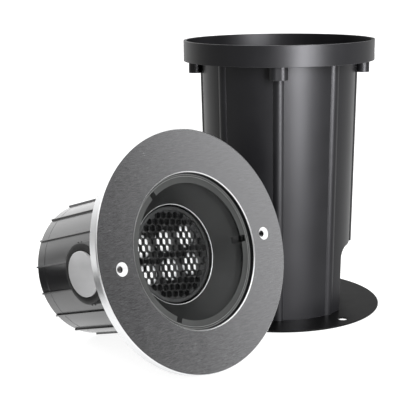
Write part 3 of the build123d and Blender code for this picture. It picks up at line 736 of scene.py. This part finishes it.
class Palette(Enum):
    """The record's material slots, each with its finish."""

    # each finish's setting for lighter sharp edges gives partly rubbing and partly a painted edge
    # highlight; the gasket's is the highest
    sleeve_plastic = MouldedPlastic(
        (0.0018, 0.0018, 0.0020), 0.40, edge=0.7 * MM, wear=0.6, specular=0.14
    )
    stainless_hardware = MachinedMetal((0.62, 0.62, 0.60), 0.28)
    brass_inserts = MachinedMetal((0.72, 0.52, 0.25), 0.30)
    brushed_trim = BrushedSteel((0.290, 0.290, 0.297), 0.22)
    black_rubber = MouldedPlastic((0.02, 0.02, 0.02), 0.62, grain=0.5 * MM, wear=0.1)
    pale_silicone = MouldedPlastic((0.052, 0.054, 0.053), 0.42, wear=0.9, specular=0.45)
    clear_glass = ClearGlass()
    shield_black = MouldedPlastic(
        (0.019, 0.019, 0.0193),
        0.42,
        grain=0.4 * MM,
        edge=0.3 * MM,
        specular=0.45,
        rim_depth=28.8 * MM,
        rim_reach=0.75 * MM,
    )
    can_plastic = MouldedPlastic(
        (0.014, 0.014, 0.015),
        0.30,
        grain=0.9 * MM,
        edge=0.3 * MM,
        specular=0.6,
        coat=0.8,
        coat_roughness=0.20,
    )
    cover_grey = MouldedPlastic((0.54, 0.54, 0.545), 0.42, grain=0.4 * MM, wear=0.5)
    gland_plastic = MouldedPlastic((0.02, 0.02, 0.021), 0.45, grain=0.5 * MM)
    gimbal_metal = MachinedMetal((0.60, 0.61, 0.62), 0.38, metallic=0.9)
    lamp_metal = MachinedMetal((0.07, 0.07, 0.072), 0.45, metallic=0.6)
    bezel_grey = MachinedMetal((0.085, 0.085, 0.087), 0.42, metallic=0.4)
    louvre_grey = MachinedMetal((0.050, 0.050, 0.051), 0.45, metallic=0.2, edge=0.12 * MM)
    optic_clear = LitOptic(pitch=24.0 * MM)
    tray_black = MouldedPlastic((0.012, 0.012, 0.013), 0.55)
    board_white = MouldedPlastic((0.70, 0.71, 0.69), 0.35, relief=0.005 * MM)
    led_yellow = MouldedPlastic((0.85, 0.70, 0.18), 0.30, relief=0.004 * MM)
    driver_white = MouldedPlastic((0.66, 0.66, 0.64), 0.42)
    terminal_cream = MouldedPlastic((0.74, 0.70, 0.58), 0.40)


# ---------------------------------------------------------------------------------------------
# Mesh helpers
# ---------------------------------------------------------------------------------------------
def piece_from(
    name: str,
    build: Callable[[bmesh.types.BMesh], None],
    place: Matrix,
    material: bpy.types.Material,
    smooth: bool = True,
) -> bpy.types.Object:
    """Makes one object whose place is in its mesh.

    Args:
        name: The object's name.
        build: Fills an empty bmesh with the shape, in the shape's own axes.
        place: Carries the shape's own axes to the model's frame.
        material: The finish.
        smooth: Whether the faces are shaded smooth.

    Returns:
        The new object, linked to the scene.
    """
    shape = bmesh.new()
    build(shape)
    bmesh.ops.transform(shape, matrix=place, verts=shape.verts)
    bmesh.ops.recalc_face_normals(shape, faces=shape.faces)
    for face in shape.faces:
        face.smooth = smooth
    mesh = bpy.data.meshes.new(name)
    shape.to_mesh(mesh)
    shape.free()
    mesh.materials.append(material)
    made = bpy.data.objects.new(name, mesh)
    bpy.context.scene.collection.objects.link(made)
    return made


def add_disc(
    shape: bmesh.types.BMesh, radius: float, height: float, bevel: float, place: Matrix, sides: int
) -> None:
    """Adds a short closed cylinder with a rounded top edge.

    Args:
        shape: The bmesh to add to.
        radius: The disc's radius.
        height: How far it stands up along its own Z.
        bevel: Radius of its top edge.
        place: Carries the disc's own axes to the shape's.
        sides: How many sides it has.
    """
    made = bmesh.ops.create_cone(
        shape,
        cap_ends=True,
        segments=sides,
        radius1=radius,
        radius2=radius,
        depth=height,
        matrix=Matrix.Translation((0, 0, height / 2)),
    )
    top = {edge for vert in made["verts"] for edge in vert.link_edges}
    top = [edge for edge in top if all(vert.co.z > height / 2 for vert in edge.verts)]
    rounded = bmesh.ops.bevel(
        shape, geom=top, affect="EDGES", offset=bevel, segments=2, profile=0.5, material=-1
    )
    moved = {vert for face in rounded["faces"] for vert in face.verts}
    moved |= {vert for vert in made["verts"] if vert.is_valid}
    bmesh.ops.transform(shape, matrix=place, verts=list(moved))


def add_ring(
    shape: bmesh.types.BMesh, profile: Sequence[tuple[float, float]], sides: int
) -> None:
    """Adds a closed ring by spinning a closed profile round the shape's own Z.

    Args:
        shape: The bmesh to add to.
        profile: The profile's corners, each a radius and a height.
        sides: How many sides the ring has.
    """
    corners = [shape.verts.new((radius, 0.0, height)) for radius, height in profile]
    runs = [shape.edges.new(pair) for pair in zip(corners, corners[1:] + corners[:1])]
    bmesh.ops.spin(
        shape,
        geom=corners + runs,
        cent=(0.0, 0.0, 0.0),
        axis=(0.0, 0.0, 1.0),
        angle=math.tau,
        steps=sides,
        use_merge=True,
    )


# ---------------------------------------------------------------------------------------------
# Sub-assemblies
# ---------------------------------------------------------------------------------------------
class SubAssembly:
    """What the sub-assemblies share: the frame's nodes, their axes and the way they are dressed.

    Attributes:
        body: The CAD body that its new pieces ride on.
        slots: The record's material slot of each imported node.
    """

    body = ""
    slots: Mapping[str, str] = {}

    def __init__(self, nodes: Mapping[str, bpy.types.Object], axes: Axes) -> None:
        """Keeps what the sub-assembly is dressed from.

        Args:
            nodes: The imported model's nodes, by name.
            axes: The axes that the patterns follow.
        """
        self.nodes = nodes
        self.axes = axes
        self.made: dict[str, bpy.types.Material] = {}

    def finish(self, slot: str) -> bpy.types.Material:
        """Finds or makes the material of a slot, once for each sub-assembly that uses it.

        Args:
            slot: The record's name of the slot.

        Returns:
            The material.
        """
        if slot not in self.made:
            name = f"{type(self).__name__}_{slot}"
            self.made[slot] = Palette[slot].value.material(name, self.axes)
        return self.made[slot]

    def dress(self) -> None:
        """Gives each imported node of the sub-assembly its finish."""
        for node, slot in self.slots.items():
            target = self.nodes[node]
            if not target.material_slots:
                target.data.materials.append(self.finish(slot))
            for holder in target.material_slots:
                holder.material = self.finish(slot)
            LOG.info("%s dressed as %s", node, slot)

    def add(self, piece: bpy.types.Object, slot: str) -> None:
        """Lets a new piece ride on the sub-assembly's body.

        Args:
            piece: The new piece.
            slot: The record's slot that it takes its finish from; not used.
        """
        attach(piece, self.body)
        LOG.info("%s added to %s", piece.name, self.body)

    def build(self) -> None:
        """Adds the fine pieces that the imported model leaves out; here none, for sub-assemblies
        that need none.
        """


class MountingSleeve(SubAssembly):
    """The standing sleeve with its base plate, screws and inserts."""

    body = "sleeve"
    slots = {
        "mounting_sleeve": "sleeve_plastic",
        "base_plate": "sleeve_plastic",
        "base_plate_screws": "stainless_hardware",
        "threaded_inserts": "brass_inserts",
    }


@dataclass(frozen=True)
class LipBeads:
    """The two fine moulded beads that run round the sloping lip of the lens gasket.

    Attributes:
        radii: Radii of the two beads.
        lip_radius: Inner radius of the gasket's lip.
        lip_depth: How far the lip's inner edge is behind the trim's face.
        lip_slope: How much the lip rises towards the face for each unit outwards.
        half_width: Half the width of a bead.
        proud: How far a bead stands up from the lip.
        sunk: How far its foot goes into the lip.
        edge: Size of its chamfers.
        sides: How many sides a bead has.
        crest: Its finish: a lighter copy of the gasket's colour, a painted highlight that shows the
            beads as light lines, lighter still on its sharp edges.
    """

    radii: Sequence[float] = (61.9 * MM, 63.4 * MM)
    lip_radius: float = 56.6 * MM
    lip_depth: float = 5.4 * MM
    lip_slope: float = 0.114
    half_width: float = 0.32 * MM
    proud: float = 0.30 * MM
    sunk: float = 0.10 * MM
    edge: float = 0.15 * MM
    sides: int = 128
    # painted highlight: the beads are the gasket's silicone, coloured lighter than it so that they
    # show as light lines
    crest: MouldedPlastic = MouldedPlastic((0.22, 0.225, 0.222), 0.35, wear=0.9)


class TrimAndLens(SubAssembly):
    """The brushed trim with its seals, nuts, glass and the glare shield behind it."""

    body = "luminaire"
    beads = LipBeads()
    slots = {
        "trim_ring": "brushed_trim",
        "trim_seal": "black_rubber",
        "trim_nuts": "stainless_hardware",
        "lens_gasket": "pale_silicone",
        "glass_lens": "clear_glass",
        "glare_shield": "shield_black",
    }

    def build(self) -> None:
        """Adds the beads on the gasket's lip."""
        beads = self.beads

        def fill(shape: bmesh.types.BMesh) -> None:
            """Spins each bead's chamfered section, sunk a little into the lip.

            Args:
                shape: The bmesh to fill, in the luminaire's axes.
            """
            for radius in beads.radii:
                foot = (radius - beads.lip_radius) * beads.lip_slope - beads.lip_depth
                inner, outer = radius - beads.half_width, radius + beads.half_width
                section = (
                    (inner, foot - beads.sunk),
                    (outer, foot - beads.sunk),
                    (outer, foot + beads.proud - beads.edge),
                    (outer - beads.edge, foot + beads.proud),
                    (inner + beads.edge, foot + beads.proud),
                    (inner, foot + beads.proud - beads.edge),
                )
                add_ring(shape, section, beads.sides)

        # the beads take the lighter, painted-highlight copy of the gasket's finish
        crest = beads.crest.material("lip_bead_highlight", self.axes)
        self.add(piece_from("lip_beads", fill, self.axes.matrix(), crest), "pale_silicone")


@dataclass(frozen=True)
class MouldMarks:
    """The two pairs of small ejector marks on the can, one pair each side of the pad.

    Attributes:
        radius: Radius of a mark.
        proud: How far it stands up from the can's wall.
        edge: Radius of its rim.
        wall_radius: Radius of the can's wall under the marks.
        depths: How far the marks are behind the trim's face.
        angles: Where the pairs are round the can, in degrees from `right` towards `up`.
        sides: How many sides a mark has.
    """

    radius: float = 0.85 * MM
    proud: float = 0.35 * MM
    edge: float = 0.15 * MM
    wall_radius: float = 60.2 * MM
    depths: Sequence[float] = (79.3 * MM, 83.8 * MM)
    angles: Sequence[float] = (154.5, -152.8)
    sides: int = 16


@dataclass(frozen=True)
class CoverSeal:
    """The thin flat soft seal that lies on the pad and shows all round the side cover.

    Attributes:
        inner: Inner radius, just outside the cover.
        outer: Outer radius, just inside the pad's edge.
        proud: How far it stands up from the pad.
        edge: Size of its chamfer.
        pad_face: How far the pad's face is from the luminaire's axis.
        depth: How far the pad's middle is behind the trim's face.
        sides: How many sides it has.
    """

    inner: float = 19.35 * MM
    outer: float = 25.5 * MM
    proud: float = 0.5 * MM
    edge: float = 0.2 * MM
    pad_face: float = 62.6 * MM
    depth: float = 72.5 * MM
    sides: int = 96


class Housing(SubAssembly):
    """The ribbed can with its side cover, rear cap and cable gland."""

    body = "luminaire"
    marks = MouldMarks()
    seal = CoverSeal()
    slots = {
        "canister_housing": "can_plastic",
        "side_cover": "cover_grey",
        "rear_cap": "can_plastic",
        "rear_cap_seal": "black_rubber",
        "rear_cap_screws": "stainless_hardware",
        "gland_body": "gland_plastic",
        "gland_nut": "gland_plastic",
        "gland_seal": "black_rubber",
        "gland_locknut": "gland_plastic",
    }

    def build(self) -> None:
        """Adds the fine pieces round the pad."""
        self.build_marks()
        self.build_seal()

    def build_seal(self) -> None:
        """Adds the seal in the corner between the side cover and the pad."""
        seal = self.seal

        def fill(shape: bmesh.types.BMesh) -> None:
            """Spins the seal's chamfered section.

            Args:
                shape: The bmesh to fill, with its Z along the pad's normal.
            """
            section = (
                (seal.inner, 0.0),
                (seal.outer, 0.0),
                (seal.outer, seal.proud - seal.edge),
                (seal.outer - seal.edge, seal.proud),
                (seal.inner, seal.proud),
            )
            add_ring(shape, section, seal.sides)

        place = (
            self.axes.matrix()
            @ Matrix.Translation((-seal.pad_face, 0.0, -seal.depth))
            @ Matrix.Rotation(math.radians(-90), 4, "Y")
        )
        self.add(piece_from("cover_seal", fill, place, self.finish("black_rubber")), "black_rubber")

    def build_marks(self) -> None:
        """Adds the ejector marks beside the pad."""
        marks = self.marks

        def fill(shape: bmesh.types.BMesh) -> None:
            """Stands each mark on the can's wall.

            Args:
                shape: The bmesh to fill, in the luminaire's axes.
            """
            for angle in marks.angles:
                for depth in marks.depths:
                    place = (
                        Matrix.Rotation(math.radians(angle), 4, "Z")
                        @ Matrix.Translation((marks.wall_radius, 0, -depth))
                        @ Matrix.Rotation(math.radians(90), 4, "Y")
                    )
                    add_disc(shape, marks.radius, marks.proud, marks.edge, place, marks.sides)

        piece = piece_from("ejector_marks", fill, self.axes.matrix(), self.finish("black_rubber"))
        self.add(piece, "black_rubber")


class Gimbal(SubAssembly):
    """The pan ring that turns in the can, with the tilt pivots."""

    body = "gimbal"
    slots = {"pan_ring": "gimbal_metal", "tilt_pivots": "stainless_hardware"}


class Lamp(SubAssembly):
    """The tilting lamp with its louvre, optics and light source."""

    body = "lamp"
    slots = {
        "lamp_body": "lamp_metal",
        "lamp_bezel": "bezel_grey",
        "honeycomb_louvre": "louvre_grey",
        "lamp_optics": "optic_clear",
        "optic_tray": "tray_black",
        "led_board": "board_white",
        "led_chips": "led_yellow",
    }


class DriverTray(SubAssembly):
    """The driver and terminal block on their tray, and the ring that retains the gimbal."""

    body = "luminaire"
    slots = {
        "pan_retainer": "stainless_hardware",
        "driver_tray": "gimbal_metal",
        "tray_screws": "stainless_hardware",
        "driver_case": "driver_white",
        "terminal_block": "terminal_cream",
    }


# ---------------------------------------------------------------------------------------------
# Studio
# ---------------------------------------------------------------------------------------------
SLEEVE_MIDDLE: Triple = (0.0, 0.0, 0.12)
SLEEVE_ONLY = ("mounting_sleeve",)
COOL_WHITE: Colour = (0.955, 0.95, 1.0)


@dataclass(frozen=True)
class SoftLight:
    """One soft rectangular light.

    Attributes:
        name: The light's name.
        place: Its centre.
        size: Its width and height.
        radiance: How bright its face is.
        target: The point that it faces.
        colour: Its colour.
        only: The nodes that it is screened to light, or none where it lights everything.
    """

    name: str
    place: Triple
    size: tuple[float, float]
    radiance: float
    target: Triple = SLEEVE_MIDDLE
    colour: Colour = WHITE
    only: Sequence[str] = ()

    def build(self, nodes: Mapping[str, bpy.types.Object]) -> None:
        """Adds the light to the scene.

        Args:
            nodes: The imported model's nodes, among which the light finds its own.
        """
        data = bpy.data.lights.new(self.name, "AREA")
        data.shape = "RECTANGLE"
        data.size, data.size_y = self.size
        data.energy = self.radiance * math.pi * self.size[0] * self.size[1]
        data.color = self.colour
        lamp = bpy.data.objects.new(self.name, data)
        lamp.location = self.place
        aim = Vector(self.target) - Vector(self.place)
        lamp.rotation_euler = aim.to_track_quat("-Z", "Y").to_euler()
        lamp.visible_camera = False
        bpy.context.scene.collection.objects.link(lamp)
        if self.only:
            lit = bpy.data.collections.new(f"{self.name}_lights")
            for node in self.only:
                lit.objects.link(nodes[node])
            lamp.light_linking.receiver_collection = lit


@dataclass(frozen=True)
class Flag:
    """A dark card beside the view, which gloss reflects and the camera doesn't see.

    Attributes:
        name: The card's name.
        x: Where it stands.
        front: Its end towards the camera, in y.
        back: Its far end, in y.
        height: How high it stands.
    """

    name: str
    x: float
    front: float
    back: float
    height: float

    def build(self, material: bpy.types.Material) -> None:
        """Adds the card to the scene.

        Args:
            material: The card's dark finish.
        """

        def fill(shape: bmesh.types.BMesh) -> None:
            """One upright rectangle."""
            bmesh.ops.create_grid(shape, x_segments=1, y_segments=1, size=0.5)

        place = (
            Matrix.Translation((self.x, (self.front + self.back) / 2, self.height / 2))
            @ Matrix.Rotation(math.radians(90), 4, "Y")
            @ Matrix.Diagonal((self.height, self.back - self.front, 1.0, 1.0))
        )
        card = piece_from(self.name, fill, place, material, smooth=False)
        card.visible_camera = False


@dataclass(frozen=True)
class Glow:
    """One soft-edged bright part of the surroundings, at the height of the horizon.

    Attributes:
        left: Where it starts, in degrees from the model's +Y towards +X.
        right: Where it ends.
        edge: How many degrees each end takes to fade.
        radiance: How much brighter it is than the rest.
        low: Sine of the elevation below which it has faded.
        high: Sine of the elevation above which it is full.
    """

    left: float
    right: float
    edge: float
    radiance: float
    low: float = -0.10
    high: float = -0.05


@dataclass(frozen=True)
class Studio:
    """The pale floor, the surroundings and the soft lights.

    Attributes:
        floor_half_width: Half the side of the square floor.
        floor_colour: The floor's colour.
        floor_glow: How much light the floor gives of itself, so that shadows on it stay faint.
        ceiling_glow: Radiance of the soft ceiling.
        ceiling_low: Sine of the elevation at which the ceiling starts.
        ceiling_high: Sine of the elevation above which it is full.
        horizon_glow: Radiance of the dim walls.
        backdrop: Radiance of the plain backdrop that the camera sees in place of the walls.
        glows: The brighter parts of the walls.
        flags: The dark cards.
        lights: The soft lights.
    """

    floor_half_width: float = 12.0
    floor_colour: Colour = (0.36, 0.36, 0.36)
    floor_glow: float = 0.90
    ceiling_glow: float = 1.8
    ceiling_low: float = 0.45
    ceiling_high: float = 0.84
    horizon_glow: float = 0.10
    backdrop: float = 1.0
    glows: Sequence[Glow] = (
        Glow(left=-72.0, right=-4.0, edge=12.0, radiance=1.5),
        Glow(left=-4.0, right=62.0, edge=14.0, radiance=0.28),
        Glow(left=60.0, right=89.5, edge=6.0, radiance=1.2),
    )
    flags: Sequence[Flag] = (Flag("left_flag", x=-0.285, front=-0.62, back=0.03, height=0.064),)
    lights: Sequence[SoftLight] = (
        SoftLight(
            "sleeve_strip",
            place=(0.60, -1.08, 0.44),
            size=(0.50, 1.0),
            radiance=82.0,
            colour=COOL_WHITE,
            only=SLEEVE_ONLY,
        ),
        SoftLight(
            "sleeve_back_strip",
            place=(0.10, 1.50, 0.14),
            size=(0.50, 0.26),
            radiance=60.0,
            colour=COOL_WHITE,
            only=SLEEVE_ONLY,
        ),
        SoftLight("right_fill", place=(0.75, -1.25, 0.80), size=(1.1, 1.1), radiance=2.4),
    )

    def build(self, nodes: Mapping[str, bpy.types.Object]) -> None:
        """Adds the floor, the world and the lights.

        Args:
            nodes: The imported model's nodes, for the lights that are screened to some of them.
        """
        self.add_floor()
        self.add_world()
        self.add_flags()
        for light in self.lights:
            light.build(nodes)

    def add_floor(self) -> None:
        """Adds a wide plain floor under the object."""
        material, recipe = new_recipe("floor_pale")
        speckle = recipe.noise(recipe.coordinates(UPRIGHT), scale=400.0, detail=1.0)
        shader = recipe.principled(
            Base_Color=recipe.mix(speckle, shaded(self.floor_colour, 0.99), self.floor_colour),
            Roughness=0.85,
            Specular_IOR_Level=0.1,
            Emission_Color=WHITE,
            Emission_Strength=self.floor_glow,
        )
        recipe.surface(shader.outputs[0])

        def fill(shape: bmesh.types.BMesh) -> None:
            """One large square."""
            bmesh.ops.create_grid(shape, x_segments=1, y_segments=1, size=self.floor_half_width)

        piece_from("studio_floor", fill, Matrix.Identity(4), material, smooth=False)

    def add_flags(self) -> None:
        """Adds the dark cards."""
        material, recipe = new_recipe("flag_dark")
        shader = recipe.principled(Base_Color=(0.02, 0.02, 0.02), Roughness=0.9)
        recipe.surface(shader.outputs[0])
        for flag in self.flags:
            flag.build(material)

    def add_world(self) -> None:
        """A bright ceiling over dim walls, with soft brighter parts along the horizon."""
        world = bpy.data.worlds.new("studio_world")
        bpy.context.scene.world = world
        recipe = Recipe(world)
        direction = recipe.node("ShaderNodeTexCoord").outputs["Generated"]
        side, back, rise = recipe.split(direction)
        heading = side.math("ARCTAN2", side, back) * math.degrees(1.0)
        walls = self.horizon_glow
        for glow in self.glows:
            fade = glow.edge / 2
            starts = heading.smooth_step(glow.left - fade, glow.left + fade)
            ends = heading.smooth_step(glow.right - fade, glow.right + fade)
            climbs = rise.smooth_step(glow.low, glow.high)
            walls = walls + starts * (1.0 - ends) * climbs * glow.radiance
        ceiling = rise.smooth_step(self.ceiling_low, self.ceiling_high)
        strength = walls * (1.0 - ceiling) + ceiling * self.ceiling_glow
        lit, seen = (
            recipe.node("ShaderNodeBackground", inputs={"Color": WHITE, "Strength": value})
            for value in (strength, self.backdrop)
        )
        direct = recipe.node("ShaderNodeLightPath").outputs["Is Camera Ray"]
        background = recipe.node(
            "ShaderNodeMixShader", inputs={0: direct, 1: lit.outputs[0], 2: seen.outputs[0]}
        )
        recipe.surface(background.outputs[0], "ShaderNodeOutputWorld")


@dataclass(frozen=True)
class PhotoCamera:
    """The camera, at the photograph's place and angle.

    Attributes:
        place: Where it stands.
        turn: Its turn to the left of the model's +Y, in radians.
        pitch: How far it looks up, in radians.
        roll: How far it is rolled, in radians.
        focal_pixels: Focal length in pixels of the photograph.
        photo_width: The photograph's width in pixels.
        sensor: Width of the sensor in millimetres.
        reach: How far it sees.
    """

    place: Triple = (0.0, -1.0218, 0.3218)
    turn: float = 0.0747
    pitch: float = -0.2116
    roll: float = -0.0132
    focal_pixels: float = 1068.8
    photo_width: float = 400.0
    sensor: float = 36.0
    reach: float = 100.0

    def build(self) -> None:
        """Adds the camera and makes it the scene's."""
        data = bpy.data.cameras.new("photo_camera")
        data.sensor_width = self.sensor
        data.lens = self.focal_pixels * self.sensor / self.photo_width
        data.clip_end = self.reach
        forward = Vector(
            (
                -math.sin(self.turn) * math.cos(self.pitch),
                math.cos(self.turn) * math.cos(self.pitch),
                math.sin(self.pitch),
            )
        )
        level = Vector((math.cos(self.turn), math.sin(self.turn), 0.0))
        above = level.cross(forward)
        right = math.cos(self.roll) * level + math.sin(self.roll) * above
        up = right.cross(forward)
        camera = bpy.data.objects.new("photo_camera", data)
        axes = Axes(Vector(self.place), right, up, -forward)
        camera.matrix_world = axes.matrix()
        bpy.context.scene.collection.objects.link(camera)
        bpy.context.scene.camera = camera


# ---------------------------------------------------------------------------------------------
# The whole scene
# ---------------------------------------------------------------------------------------------
def main() -> None:
    """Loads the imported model, dresses it and sets up the studio and the camera."""
    logging.basicConfig(level=logging.INFO, format="%(name)s: %(message)s")
    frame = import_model()
    axes = luminaire_axes(frame["record"], TRIM_PLATE)
    assemblies = [
        MountingSleeve(frame["nodes"], UPRIGHT),
        TrimAndLens(frame["nodes"], axes),
        Housing(frame["nodes"], axes),
        Gimbal(frame["nodes"], axes),
        Lamp(frame["nodes"], axes),
        DriverTray(frame["nodes"], axes),
    ]
    for assembly in assemblies:
        assembly.dress()
        assembly.build()
    Studio().build(frame["nodes"])
    PhotoCamera().build()
    bpy.context.scene.view_settings.view_transform = "Standard"


if __name__ == "__main__":
    main()
